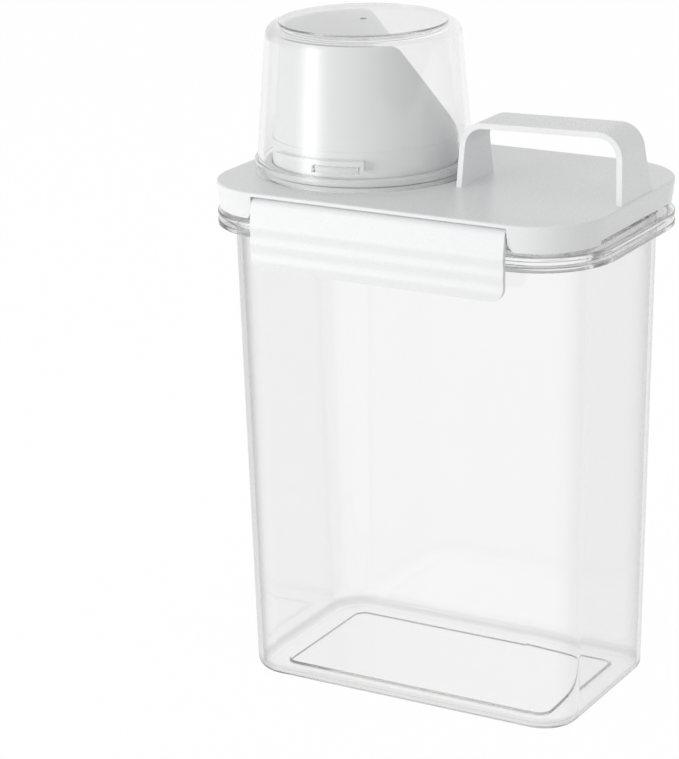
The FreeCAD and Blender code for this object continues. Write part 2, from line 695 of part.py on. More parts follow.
def find_faults(document, bodies):
    """Name every object that failed and every piece whose solid is missing or not valid."""
    faults = [item.Name for item in document.Objects if {"Invalid", "Error"} & set(item.State)]
    for body in bodies:
        shape = body.Shape
        if shape.isNull() or not shape.isValid() or len(shape.Solids) != 1:
            faults.append(body.Label)
    return faults


def main():
    """Build every piece, check them all and write one STEP file each."""
    document = FreeCAD.newDocument("dispenser")
    s = add_levels(make_sheet(document))
    bodies = [
        make_container(document, s),
        make_lid(document, s),
        make_gasket(document, s),
        make_latch(document, s, "front_latch", True),
        make_latch(document, s, "rear_latch", False),
        make_spout(document, s),
        make_cup_ring(document, s),
        make_cup(document, s),
    ]
    document.recompute()
    faults = find_faults(document, bodies)
    if faults:
        raise RuntimeError(f"these failed to build: {', '.join(faults)}")
    os.makedirs("parts", exist_ok=True)
    for body in bodies:
        body.Shape.exportStep(os.path.join("parts", f"{body.Label}.step"))
        box = body.Shape.BoundBox
        print(f"{body.Label:14s} {body.Shape.Volume / 1000:8.2f} cm3  x {box.XMin:7.2f} {box.XMax:7.2f}"
              f"  y {box.YMin:7.2f} {box.YMax:7.2f}  z {box.ZMin:7.2f} {box.ZMax:7.2f}")


main()
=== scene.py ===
"""The looks of a laundry detergent dispenser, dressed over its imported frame.

The box and the measuring cup are clear plastic, the lid, latches and spout are white plastic,
and the sealing rings are silicone.  Sizes in the sub-assemblies are in millimetres, in the
part's frame.  Those in the finishes and the studio are in metres.
"""

import logging
import math
from collections.abc import Callable
from dataclasses import dataclass
from enum import Enum
from typing import NamedTuple

import bpy
from mathutils import Matrix, Vector


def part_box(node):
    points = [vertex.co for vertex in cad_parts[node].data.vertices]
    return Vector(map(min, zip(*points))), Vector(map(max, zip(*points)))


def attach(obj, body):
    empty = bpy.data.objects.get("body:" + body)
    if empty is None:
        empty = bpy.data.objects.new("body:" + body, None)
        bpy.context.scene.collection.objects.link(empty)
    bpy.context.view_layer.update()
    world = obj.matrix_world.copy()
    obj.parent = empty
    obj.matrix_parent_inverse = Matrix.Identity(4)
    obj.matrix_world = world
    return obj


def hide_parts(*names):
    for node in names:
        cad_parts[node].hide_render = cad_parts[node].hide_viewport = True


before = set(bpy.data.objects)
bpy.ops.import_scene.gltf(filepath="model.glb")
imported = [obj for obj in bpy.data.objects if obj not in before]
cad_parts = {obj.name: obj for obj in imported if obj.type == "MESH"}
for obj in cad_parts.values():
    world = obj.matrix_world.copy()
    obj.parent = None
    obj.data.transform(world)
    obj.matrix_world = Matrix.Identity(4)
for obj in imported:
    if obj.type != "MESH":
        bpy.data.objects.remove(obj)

LOG = logging.getLogger("dispenser")
MM = 0.001

ALONG, ACROSS, UP = Vector((1.0, 0.0, 0.0)), Vector((0.0, 1.0, 0.0)), Vector((0.0, 0.0, 1.0))
HALF_TURN = 180.0
WHITE = (1.0, 1.0, 1.0, 1.0)
MIRRORED = ("Is Glossy Ray", "Is Transmission Ray")
WELD = 0.002  # points nearer than this merge
LEVEL = 0.02  # heights that differ by less are level
SLACK = 0.1  # how far outside its bounds an edge is still looked for
BEYOND = 1.0  # how far a cutting shape reaches past what it cuts
CREASE = 40.0  # degrees by which an edge turns before it counts as sharp
CHORD_CREASE = 50.0  # the same on pieces whose small roundings have few chords
PICKED_CREASE = 30.0  # the same for edges that are picked one by one
ROD_STEPS = 32

Tone = tuple[float, float, float]
Points = list[tuple[float, float]]
FaceTest = Callable[[Vector], bool]
EdgeTest = Callable[[Vector, Vector], bool]


# ------------------------------------------------------------------------------- shader maths


class Socket:
    """An output socket that takes part in arithmetic, each operator adding one Math node."""

    def __init__(self, shader: "Shader", output: bpy.types.NodeSocket) -> None:
        """Wrap an output socket of a shader's tree."""
        self.shader = shader
        self.output = output

    def _join(self, operation: str, *values: "Socket | float") -> "Socket":
        """Feed values to a new Math node and return its result."""
        return self.shader.node("ShaderNodeMath", {"operation": operation}, dict(enumerate(values)))

    def __add__(self, other: "Socket | float") -> "Socket":
        """The sum with a number or socket."""
        return self._join("ADD", self, other)

    __radd__ = __add__

    def __mul__(self, other: "Socket | float") -> "Socket":
        """The product with a number or socket."""
        return self._join("MULTIPLY", self, other)

    __rmul__ = __mul__

    def __sub__(self, other: "Socket | float") -> "Socket":
        """This less a number or socket."""
        return self._join("SUBTRACT", self, other)

    def __rsub__(self, other: "Socket | float") -> "Socket":
        """A number or socket less this."""
        return self._join("SUBTRACT", other, self)

    def __truediv__(self, other: float) -> "Socket":
        """This divided by a number."""
        return self._join("DIVIDE", self, other)

    def __pow__(self, power: float) -> "Socket":
        """This to a power."""
        return self._join("POWER", self, power)

    def __abs__(self) -> "Socket":
        """This without its sign."""
        return self._join("ABSOLUTE", self)

    def clamped(self) -> "Socket":
        """This held between 0 and 1."""
        return self.shader.node("ShaderNodeClamp", {}, {"Value": self})

    def maximum(self, other: "Socket | float") -> "Socket":
        """The larger of this and another."""
        return self._join("MAXIMUM", self, other)


class Noise(NamedTuple):
    """A noise: features to the metre, the number of finer layers and how strong they are."""

    scale: float
    detail: float = 2.0
    roughness: float = 0.5


class Relief(NamedTuple):
    """A bump: how far it reaches, in metres, and its strength."""

    distance: float
    strength: float


class Shader:
    """A material or world tree that is being built."""

    def __init__(self, owner: bpy.types.Material | bpy.types.World) -> None:
        """Empty the owner's tree and give it an output node.

        Args:
            owner: the material or world to build in.
        """
        owner.use_nodes = True
        self.tree = owner.node_tree
        self.tree.nodes.clear()
        kind = "World" if isinstance(owner, bpy.types.World) else "Material"
        self.result = self.tree.nodes.new(f"ShaderNodeOutput{kind}")

    def node(self, kind: str, settings: dict[str, object], inputs: dict[str | int, object],
             output: str | int = 0) -> Socket:
        """Make any node.

        Args:
            kind: the node's type.
            settings: attributes that are set before the sockets.
            inputs: socket names or numbers with the value or Socket that each gets.
            output: the name or number of the output to return.

        Returns:
            The chosen output.
        """
        made = self.tree.nodes.new(kind)
        for name, value in settings.items():
            setattr(made, name, value)
        for name, value in inputs.items():
            if isinstance(value, Socket):
                self.tree.links.new(value.output, made.inputs[name])
            else:
                made.inputs[name].default_value = value
        return Socket(self, made.outputs[output])

    def place(self) -> Socket:
        """The place on the object, in metres in the part's frame."""
        return self.node("ShaderNodeTexCoord", {}, {}, "Object")

    def facing(self) -> Socket:
        """The direction that the surface faces, in the world."""
        return self.node("ShaderNodeNewGeometry", {}, {}, "Normal")

    def slant(self) -> Socket:
        """How far the surface slants from the eye, from 0 to 1."""
        return self.node("ShaderNodeLayerWeight", {}, {"Blend": 0.5}, "Facing")

    def parts(self, vector: Socket, axes: str) -> list[Socket]:
        """Some parts of a vector, such as "XZ"."""
        return [self.node("ShaderNodeSeparateXYZ", {}, {"Vector": vector}, axis) for axis in axes]

    def vector(self, operation: str, *values: Socket | Vector, output: str = "Vector") -> Socket:
        """Feed values to a new Vector Math node and return one of its results."""
        settings, inputs = {"operation": operation}, dict(enumerate(values))
        return self.node("ShaderNodeVectorMath", settings, inputs, output)

    def noise(self, kind: Noise) -> Socket:
        """A soft noise over the object, from 0 to 1 about a middle of one half."""
        inputs = dict(zip(("Scale", "Detail", "Roughness"), kind), Vector=self.place())
        return self.node("ShaderNodeTexNoise", {}, inputs)

    def bump(self, height: Socket, relief: Relief) -> Socket:
        """A normal bent by a height."""
        inputs = {"Height": height, "Distance": relief.distance, "Strength": relief.strength}
        return self.node("ShaderNodeBump", {}, inputs)

    def tint(self, mask: Socket, low: Tone, high: Tone) -> Socket:
        """A colour between two, by a mask."""
        settings = {"data_type": "RGBA", "blend_type": "MIX"}
        return self.node("ShaderNodeMix", settings, {0: mask, 6: (*low, 1.0), 7: (*high, 1.0)}, 2)

    def ray(self, *kinds: str) -> Socket:
        """Tell some kinds of ray from the rest.

        Args:
            kinds: their names, such as "Is Shadow Ray".

        Returns:
            One for a ray of any of the kinds, and otherwise nought.
        """
        first, *others = (self.node("ShaderNodeLightPath", {}, {}, kind) for kind in kinds)
        for other in others:
            first = first.maximum(other)
        return first

    def mixed(self, mask: Socket, first: Socket, second: Socket) -> Socket:
        """One shader where a mask is 0, and a second one where it is 1."""
        return self.node("ShaderNodeMixShader", {}, {0: mask, 1: first, 2: second})

    def finish(self, surface: Socket) -> None:
        """Send a shader to the output."""
        self.tree.links.new(surface.output, self.result.inputs["Surface"])


# ----------------------------------------------------------------------------------- finishes


@dataclass(frozen=True)
class ClearPlastic:
    """A polished clear moulding, with painted shade seen edge on, faint flow marks and handling
    haze.
    """

    name: str
    bend: float = 1.49
    haze: float = 0.02
    tone: Tone = (0.965, 0.967, 0.965)
    # painted shade: the dark tone mixed in where the plastic is seen edge on
    edge_shade_tone: Tone = (0.1, 0.105, 0.1)
    edge_fall: float = 3.0
    shadow: Tone = (0.965, 0.965, 0.965)
    smudge: Noise = Noise(26.0, 4.0, 0.6)
    smudge_share: float = 0.03
    flow: Noise = Noise(9.0, 1.0)
    flow_share: float = 0.02
    flow_relief: Relief = Relief(0.0002, 0.35)

    def depth(self, shader: Shader) -> Socket:
        """How strong the painted shade is, from 0 to 1: darker seen edge on, mostly for the dark
        surroundings that edges refract and partly for the longer path through the wall.
        """
        return shader.slant() ** self.edge_fall

    def make(self) -> bpy.types.Material:
        """Build the material.

        Returns:
            The material, which lets lamps and diffuse light straight through.
        """
        material = bpy.data.materials.new(self.name)
        shader = Shader(material)
        flow = shader.noise(self.flow)
        # painted shade seen edge on, with the real flow marks added
        flow_marks_and_shade = (self.depth(shader) + flow * self.flow_share).clamped()
        body = shader.node("ShaderNodeBsdfPrincipled", {}, {
            "Base Color": shader.tint(flow_marks_and_shade, self.tone, self.edge_shade_tone),
            "Roughness": shader.noise(self.smudge) * self.smudge_share + self.haze,
            "IOR": self.bend,
            "Transmission Weight": 1.0,
            "Normal": shader.bump(flow, self.flow_relief),
        })
        clear = shader.node("ShaderNodeBsdfTransparent", {}, {"Color": (*self.shadow, 1.0)})
        lamp = shader.ray("Is Shadow Ray", "Is Diffuse Ray")
        shader.finish(shader.mixed(lamp, body, clear))
        return material


@dataclass(frozen=True)
class BoxPlastic(ClearPlastic):
    """The box's clear plastic, with painted shade seen edge on, in the rounded corners and along the
    foot.
    """

    level_share: float = 0.12
    # painted shade in the rounded corners and along the foot
    corner_centre: tuple[float, float] = (0.0522, 0.0252)
    corner_reach: float = 0.016
    corner_shade_depth: float = 0.6
    foot_height: float = 0.0055
    foot_shade_depth: float = 0.6

    def depth(self, shader: Shader) -> Socket:
        """How strong the painted shade is: less on level faces, more in the corners and the foot.

        Args:
            shader: the shader to build in.

        Returns:
            The depth of the tone.
        """
        slant = shader.slant()
        upright = 1.0 - shader.parts(shader.facing(), "Z")[0] ** 2
        along, across, height = shader.parts(shader.place(), "XYZ")
        end, side = self.corner_centre
        # painted shade in the rounded corners, where the walls refract dark lines
        corner = (((abs(along) - end) / self.corner_reach).clamped()
                  * ((abs(across) - side) / self.corner_reach).clamped())
        # 1 where the surface is half turned from the eye, and less to both sides
        half_turned = (slant * (1.0 - slant) * 4.0) ** self.edge_fall
        # painted shade: a darker band along the foot
        foot = (1.0 - height / self.foot_height).clamped()
        return (slant ** self.edge_fall * (1.0 - (1.0 - upright) * (1.0 - self.level_share))
                + corner * half_turned * self.corner_shade_depth + foot * upright * self.foot_shade_depth)


@dataclass(frozen=True)
class CupPlastic(ClearPlastic):
    """The cup's clear plastic, with a painted shade line round the step of its end and a darker gate
    mark.
    """

    # painted shade seen edge on, lighter than on the box
    edge_shade_tone: Tone = (0.4, 0.405, 0.4)
    middle: float = 0.0
    step_radius: float = 0.0305
    step_reach: float = 0.0008
    step_shade_and_gate_depth: float = 1.2
    slant_share: float = 0.45
    gate_radius: float = 0.002

    def depth(self, shader: Shader) -> Socket:
        """How strong the tone is: painted shade on the upright faces of the step, the gate mark's
        own darker tone, and painted shade seen edge on.

        Args:
            shader: the shader to build in.

        Returns:
            The depth of the tone.
        """
        upright = 1.0 - shader.parts(shader.facing(), "Z")[0] ** 2
        along, across = shader.parts(shader.place(), "XY")
        radius = ((along - self.middle) ** 2 + across ** 2) ** 0.5
        # painted shade: a dark line on the step's upright face
        step = (1.0 - abs(radius - self.step_radius) / self.step_reach).clamped()
        # 1 up to the gate's radius, and 0 from twice that
        gate = (2.0 - radius / self.gate_radius).clamped()
        # painted shade seen edge on
        edge = shader.slant() ** self.edge_fall * self.slant_share
        return edge + upright * (step + gate) * self.step_shade_and_gate_depth


@dataclass(frozen=True)
class OpaquePlastic:
    """A moulding with a faint cloud in its tone and a grain in its gloss and its surface."""

    name: str
    bend: float
    tone: Tone
    cloud: Noise
    cloud_share: float
    grain: Noise
    grain_relief: Relief
    haze: float
    haze_range: float

    def make(self) -> bpy.types.Material:
        """Build the material.

        Returns:
            The material.
        """
        material = bpy.data.materials.new(self.name)
        shader = Shader(material)
        grain = shader.noise(self.grain)
        darker = tuple(part * self.cloud_share for part in self.tone)
        body = shader.node("ShaderNodeBsdfPrincipled", {}, {
            "Base Color": shader.tint(shader.noise(self.cloud), darker, self.tone),
            "Roughness": grain * self.haze_range + self.haze,
            "IOR": self.bend,
            "Normal": shader.bump(grain, self.grain_relief),
        })
        shader.finish(body)
        return material


@dataclass(frozen=True)
class WhitePlastic(OpaquePlastic):
    """Satin white plastic with a fine moulded grain."""

    bend: float = 1.46
    tone: Tone = (0.87, 0.875, 0.88)
    cloud: Noise = Noise(18.0, 3.0, 0.55)
    cloud_share: float = 0.975
    grain: Noise = Noise(2600.0)
    grain_relief: Relief = Relief(0.00002, 0.6)
    haze: float = 0.24
    haze_range: float = 0.08


@dataclass(frozen=True)
class Silicone(OpaquePlastic):
    """Milky silicone, soft in its gloss and slightly dusty."""

    bend: float = 1.41
    tone: Tone = (0.8, 0.81, 0.81)
    cloud: Noise = Noise(140.0, 3.0, 0.6)
    cloud_share: float = 0.95
    grain: Noise = Noise(140.0, 3.0, 0.6)
    grain_relief: Relief = Relief(0.00004, 0.5)
    haze: float = 0.42
    haze_range: float = 0.15


# ---------------------------------------------------------------------------- modelling bench


class Outline(NamedTuple):
    """A rounded rectangle about the part's vertical axis."""

    length: float
    width: float
    corner: float

    def grown(self, growth: float) -> "Outline":
        """The outline moved out all round."""
        return Outline(self.length + growth * 2, self.width + growth * 2, self.corner + growth)


class Level(NamedTuple):
    """A rounded rectangle at a height."""

    height: float
    outline: Outline


def quarter(radius: float, steps: int) -> Points:
    """The sine and cosine parts, times the radius, of points along a quarter circle."""
    angles = [math.radians(90.0 * step / steps) for step in range(steps + 1)]
    return [(radius * math.sin(angle), radius * math.cos(angle)) for angle in angles]


def polar(place: Vector, middle: float) -> tuple[float, float]:
    """The distance from an upright axis, and the angle about it in degrees."""
    along = place.x - middle
    return math.hypot(along, place.y), math.degrees(math.atan2(place.y, along))


def rounded_outline(corners: list[tuple[float, float, float]], steps: int = 8) -> Points:
    """A polygon with its corners rounded.

    Args:
        corners: each corner's two places and the radius it is rounded to, or 0 for a sharp one.
        steps: chords in each rounding.

    Returns:
        The points all round.
    """
    found = []
    for number, (across, up, radius) in enumerate(corners):
        here = Vector((across, up))
        back = (Vector(corners[number - 1][:2]) - here).normalized()
        onward = (Vector(corners[(number + 1) % len(corners)][:2]) - here).normalized()
        half = back.angle(onward) / 2
        centre = here + (back + onward).normalized() * (radius / math.sin(half))
        arm = back * (radius / math.tan(half)) + here - centre
        first = math.atan2(arm.y, arm.x)
        sweep = (math.pi - half * 2) * (-1.0 if back.cross(onward) > 0.0 else 1.0)
        bends = [first + sweep * step / steps for step in range(steps + 1)] if radius else [0.0]
        found += [(centre.x + radius * math.cos(bend), centre.y + radius * math.sin(bend))
                  for bend in bends]
    return found


def select_nothing() -> None:
    """Leave object mode with nothing selected."""
    if bpy.context.object and bpy.context.object.mode != "OBJECT":
        bpy.ops.object.mode_set(mode="OBJECT")
    bpy.ops.object.select_all(action="DESELECT")


def select_only(piece: bpy.types.Object) -> None:
    """Select one piece and make it active.

    Args:
        piece: the object.
    """
    select_nothing()
    piece.select_set(True)
    bpy.context.view_layer.objects.active = piece


class Pick(Enum):
    """What is picked in edit mode."""

    POINTS = "VERT"
    EDGES = "EDGE"
    FACES = "FACE"


def edit(piece: bpy.types.Object, pick: Pick) -> None:
    """Open a piece in edit mode with nothing selected.

    Args:
        piece: the object.
        pick: what is picked next.
    """
    bpy.context.view_layer.objects.active = piece
    bpy.ops.object.mode_set(mode="EDIT")
    bpy.ops.mesh.select_mode(type=pick.value)
    bpy.ops.mesh.select_all(action="DESELECT")


def start_piece(name: str) -> bpy.types.Object:
    """Make an empty mesh at the origin and open it in edit mode.

    Args:
        name: the piece's name.

    Returns:
        The new object.
    """
    select_nothing()
    bpy.ops.mesh.primitive_plane_add(size=1.0)
    piece = bpy.context.object
    piece.name = name
    edit(piece, Pick.POINTS)
    bpy.ops.mesh.select_all(action="SELECT")
    bpy.ops.mesh.delete(type="VERT")
    return piece


def close_piece() -> None:
    """Weld what meets, turn every face outwards and leave edit mode."""
    bpy.ops.mesh.select_all(action="SELECT")
    bpy.ops.mesh.remove_doubles(threshold=WELD)
    bpy.ops.mesh.normals_make_consistent(inside=False)
    bpy.ops.object.mode_set(mode="OBJECT")


def add_ring(level: Level, steps: int) -> None:
    """Add a rounded rectangle of edges to the mesh in edit mode, as a vertex group of its own.

    Args:
        level: its height and outline.
        steps: chords in each corner.
    """
    centre = (0.0, 0.0, level.height)
    bpy.ops.mesh.primitive_plane_add(size=1.0, location=centre)
    shape = level.outline
    size = (shape.length, shape.width, 1.0)
    bpy.ops.transform.resize(value=size, center_override=centre)
    bpy.ops.mesh.bevel(offset=shape.corner, segments=steps, affect="VERTICES", clamp_overlap=False)
    bpy.ops.object.vertex_group_add()
    bpy.ops.object.vertex_group_assign()
    bpy.ops.mesh.delete(type="ONLY_FACE")


def skin_levels(name: str, levels: list[Level], steps: int = 18,
                hoop: bool = False) -> bpy.types.Object:
    """Bridge rounded rectangles one after another, and fill the first and the last.

    Args:
        name: the piece's name.
        levels: the rings, in order along the section from middle to middle.
        steps: chords in each corner.
        hoop: whether the last ring meets the first instead.

    Returns:
        The closed piece, in object mode.
    """
    piece = start_piece(name)
    for level in levels:
        add_ring(level, steps)
    last = len(levels) - 1
    pairs = [(number, number + 1) for number in range(last)]
    for rings in pairs + ([(0, last)] if hoop else [(0,), (last,)]):
        bpy.ops.mesh.select_all(action="DESELECT")
        for number in rings:
            piece.vertex_groups.active_index = number
            bpy.ops.object.vertex_group_select()
        if len(rings) == 2:
            bpy.ops.mesh.bridge_edge_loops()
        else:
            bpy.ops.mesh.edge_face_add()
    close_piece()
    piece.vertex_groups.clear()
    return piece


def turn_profile(name: str, middle: float, profile: Points, steps: int = 120,
                 first: float = 0.0, capped: bool = False) -> bpy.types.Object:
    """Carry a ring along a profile about an upright axis, by extruding and scaling it.

    Args:
        name: the piece's name.
        middle: the axis's place along X.
        profile: radius and height of each ring.
        steps: chords in a full turn.
        first: the angle of the first point, in degrees.
        capped: whether the first and the last ring are filled, and otherwise they meet.

    Returns:
        The closed piece, in object mode.
    """
    select_nothing()
    radius, height = profile[0]
    bpy.ops.mesh.primitive_circle_add(
        vertices=steps, radius=radius, fill_type="NGON" if capped else "NOTHING",
        location=(middle, 0.0, height), rotation=(0.0, 0.0, math.radians(first)),
    )
    piece = bpy.context.object
    piece.name = name
    bpy.ops.object.transform_apply()
    edit(piece, Pick.EDGES)
    bpy.ops.mesh.select_all(action="SELECT")
    for following, above in profile[1:]:
        bpy.ops.mesh.extrude_edges_move(
            TRANSFORM_OT_translate={"value": (0.0, 0.0, above - height)})
        share = following / radius
        centre = (middle, 0.0, above)
        bpy.ops.transform.resize(value=(share, share, 1.0), center_override=centre)
        radius, height = following, above
    if capped:
        bpy.ops.mesh.edge_face_add()
    close_piece()
    return piece


def extrude_profile(name: str, profile: Points, start: Vector, travel: Vector, across: Vector,
                    up: Vector = UP) -> bpy.types.Object:
    """Draw an outline point by point, fill it and extrude it.

    Args:
        name: the piece's name.
        profile: how far each point lies along across and up.
        start: where the outline's own origin is.
        travel: how far the filled outline is extruded.
        across: the direction of a point's first number.
        up: the direction of its second.

    Returns:
        The closed piece, in object mode.
    """
    piece = start_piece(name)
    bpy.ops.mesh.primitive_plane_add(size=1.0, location=(0.0, 0.0, 0.0))
    bpy.ops.mesh.merge(type="CENTER")
    place = Vector()
    for along, rise in profile:
        there = start + across * along + up * rise
        if place.length == 0.0:
            bpy.ops.transform.translate(value=there)
        else:
            bpy.ops.mesh.extrude_vertices_move(TRANSFORM_OT_translate={"value": there - place})
        place = there
    bpy.ops.mesh.select_all(action="SELECT")
    bpy.ops.mesh.edge_face_add()
    bpy.ops.mesh.extrude_region_move(TRANSFORM_OT_translate={"value": travel})
    close_piece()
    return piece


def draw_out(piece: bpy.types.Object, chosen: FaceTest, centre: Vector, share: float) -> None:
    """Extrude some faces away from an upright axis.

    Args:
        piece: the object.
        chosen: tells whether a face is extruded, by its middle.
        centre: a place on the axis.
        share: the new distance from the axis as a share of the old one.
    """
    edit(piece, Pick.FACES)
    bpy.ops.object.mode_set(mode="OBJECT")
    for face in piece.data.polygons:
        face.select = chosen(face.center)
    bpy.ops.object.mode_set(mode="EDIT")
    bpy.ops.mesh.extrude_region_move()
    bpy.ops.transform.resize(value=(share, share, 1.0), center_override=centre)
    bpy.ops.object.mode_set(mode="OBJECT")


def round_edges(piece: bpy.types.Object, chosen: EdgeTest, radius: float, steps: int = 4,
                clamped: bool = True) -> None:
    """Round some of a piece's sharp edges.

    Args:
        piece: the object.
        chosen: tells whether an edge is rounded, by its two ends.
        radius: the rounding.
        steps: chords in each rounding.
        clamped: whether roundings stop where they would overlap.
    """
    select_nothing()
    edit(piece, Pick.EDGES)
    bpy.ops.mesh.edges_select_sharp(sharpness=math.radians(PICKED_CREASE))
    bpy.ops.object.mode_set(mode="OBJECT")
    points = piece.data.vertices
    for line in piece.data.edges:
        line.select = line.select and chosen(*(points[end].co for end in line.vertices))
    bpy.ops.object.mode_set(mode="EDIT")
    bpy.ops.mesh.bevel(offset=radius, segments=steps, affect="EDGES", clamp_overlap=clamped)
    bpy.ops.object.mode_set(mode="OBJECT")


def apply_modifier(piece: bpy.types.Object, kind: str, **settings: object) -> None:
    """Give a piece a modifier and apply it.

    Args:
        piece: the object.
        kind: the modifier's type.
        settings: its attributes.
    """
    select_only(piece)
    modifier = piece.modifiers.new(kind.lower(), kind)
    for name, value in settings.items():
        setattr(modifier, name, value)
    bpy.ops.object.modifier_apply(modifier=modifier.name)


class Fold(Enum):
    """How a second shape changes a piece."""

    CUT = "DIFFERENCE"
    KEEP = "INTERSECT"
    ADD = "UNION"


def combine(piece: bpy.types.Object, other: bpy.types.Object, how: Fold) -> None:
    """Cut, trim or join a piece by another, which is used up."""
    apply_modifier(piece, "BOOLEAN", operation=how.value, solver="EXACT", object=other)
    bpy.data.objects.remove(other)


def soften(piece: bpy.types.Object, radius: float, sharpest: float = CREASE, steps: int = 3) -> None:
    """Round a piece's sharp edges and shade it smoothly.

    Args:
        piece: the object.
        radius: the rounding.
        sharpest: edges that turn by more than this many degrees are rounded.
        steps: chords in each rounding.
    """
    apply_modifier(piece, "BEVEL", width=radius, segments=steps, limit_method="ANGLE",
                   angle_limit=math.radians(sharpest), use_clamp_overlap=True)
    shade(piece)


def shade(piece: bpy.types.Object) -> None:
    """Shade a piece smoothly up to an angle, and keep its flat faces flat.

    Args:
        piece: the object.
    """
    select_only(piece)
    bpy.ops.object.shade_smooth_by_angle(angle=math.radians(CREASE))
    apply_modifier(piece, "WEIGHTED_NORMAL", keep_sharp=True)


def rod(name: str, radius: float, reach: float, depth: float, height: float) -> bpy.types.Object:
    """Make a round rod along the part.

    Args:
        name: its name.
        radius: its radius.
        reach: how far it goes each way along X.
        depth: its place along Y.
        height: its place along Z.

    Returns:
        The rod, with its place in its mesh.
    """
    select_nothing()
    bpy.ops.mesh.primitive_cylinder_add(
        vertices=ROD_STEPS, radius=radius, depth=reach * 2, location=(0.0, depth, height),
        rotation=(0.0, math.radians(90.0), 0.0),
    )
    made = bpy.context.object
    made.name = name
    bpy.ops.object.transform_apply()
    return made


def dress(piece: bpy.types.Object, body: str, node: str,
          material: bpy.types.Material) -> None:
    """Bring a finished piece to metres and put it on its body in place of a node.

    Args:
        piece: the object, with its place in its mesh.
        body: the body that it moves with.
        node: the node that it stands for.
        material: its finish.
    """
    select_only(piece)
    bpy.ops.transform.resize(value=(MM, MM, MM), center_override=(0.0, 0.0, 0.0))
    bpy.ops.object.transform_apply(location=True, rotation=True, scale=True)
    piece.data.materials.clear()
    piece.data.materials.append(material)
    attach(piece, body)
    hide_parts(node)
    LOG.info("%s: %d faces, rides on %s", piece.name, len(piece.data.polygons), body)


# ------------------------------------------------------------------------------ sub-assemblies


class Side(Enum):
    """A long side of the box, by the way that it faces along Y."""

    FRONT = -1.0
    REAR = 1.0


@dataclass
class ClearBox:
    """The clear box: flared walls, a raised floor panel, a double-lipped rim and a neck."""

    finish: bpy.types.Material
    foot: Outline = Outline(132.4, 78.4, 14.0)
    flare: float = 3.65
    wall: float = 1.8
    foot_round: float = 4.3
    foot_steps: int = 6
    floor_steps: int = 5
    shoulder: float = 173.4
    panel: Outline = Outline(107.3, 55.0, 4.0)
    panel_rise: float = 1.0
    foot_slope: float = 0.03
    rim: Outline = Outline(155.0, 101.4, 29.0)
    groove_depth: float = 3.0
    lip_heights: tuple[float, float, float] = (1.9, 1.9, 1.4)
    neck_rise: float = 5.6
    edge_round: float = 0.45
    wall_levels: int = 8

    def side(self, height: float, inset: float = 0.0) -> Outline:
        """The outside of the flared wall at a height, moved in by an inset."""
        return self.foot.grown(self.flare * height / self.shoulder - inset)

    def levels(self) -> list[Level]:
        """The section from the underside's middle, round the rim, to the floor's middle.

        Returns:
            The rings in order.
        """
        low, gap, high = self.lip_heights
        groove_bottom = self.shoulder + low
        groove_top = groove_bottom + gap
        rim_top = groove_top + high
        neck_top = rim_top + self.neck_rise
        neck = self.side(self.shoulder)
        core = self.rim.grown(-self.groove_depth)
        found = [Level(self.panel_rise, self.panel), Level(self.foot_slope, self.panel)]
        for out, up in quarter(self.foot_round, self.foot_steps):
            height = self.foot_round - up
            found.append(Level(height, self.side(height, self.foot_round - out)))
        for step in range(1, self.wall_levels + 1):
            height = self.foot_round + (self.shoulder - self.foot_round) * step / self.wall_levels
            found.append(Level(height, self.side(height)))
        found += [
            Level(self.shoulder, self.rim), Level(groove_bottom, self.rim),
            Level(groove_bottom, core), Level(groove_top, core), Level(groove_top, self.rim),
            Level(rim_top, self.rim), Level(rim_top, neck), Level(neck_top, neck),
            Level(neck_top, neck.grown(-self.wall)),
        ]
        inner_round = self.foot_round - self.wall
        floor = self.wall + inner_round
        for step in range(self.wall_levels + 1):
            height = self.shoulder + (floor - self.shoulder) * step / self.wall_levels
            found.append(Level(height, self.side(height, self.wall)))
        for down, out in quarter(inner_round, self.floor_steps)[1:]:
            height = floor - down
            found.append(Level(height, self.side(height, self.wall + inner_round - out)))
        raised = self.panel.grown(self.wall / 2)
        return found + [Level(self.wall + self.foot_slope, raised),
                        Level(self.wall + self.panel_rise, raised)]

    def build(self) -> None:
        """Model the box and put it in place of its node."""
        piece = skin_levels("clear_box", self.levels())
        soften(piece, self.edge_round, sharpest=CHORD_CREASE, steps=4)
        dress(piece, "container", "container", self.finish)


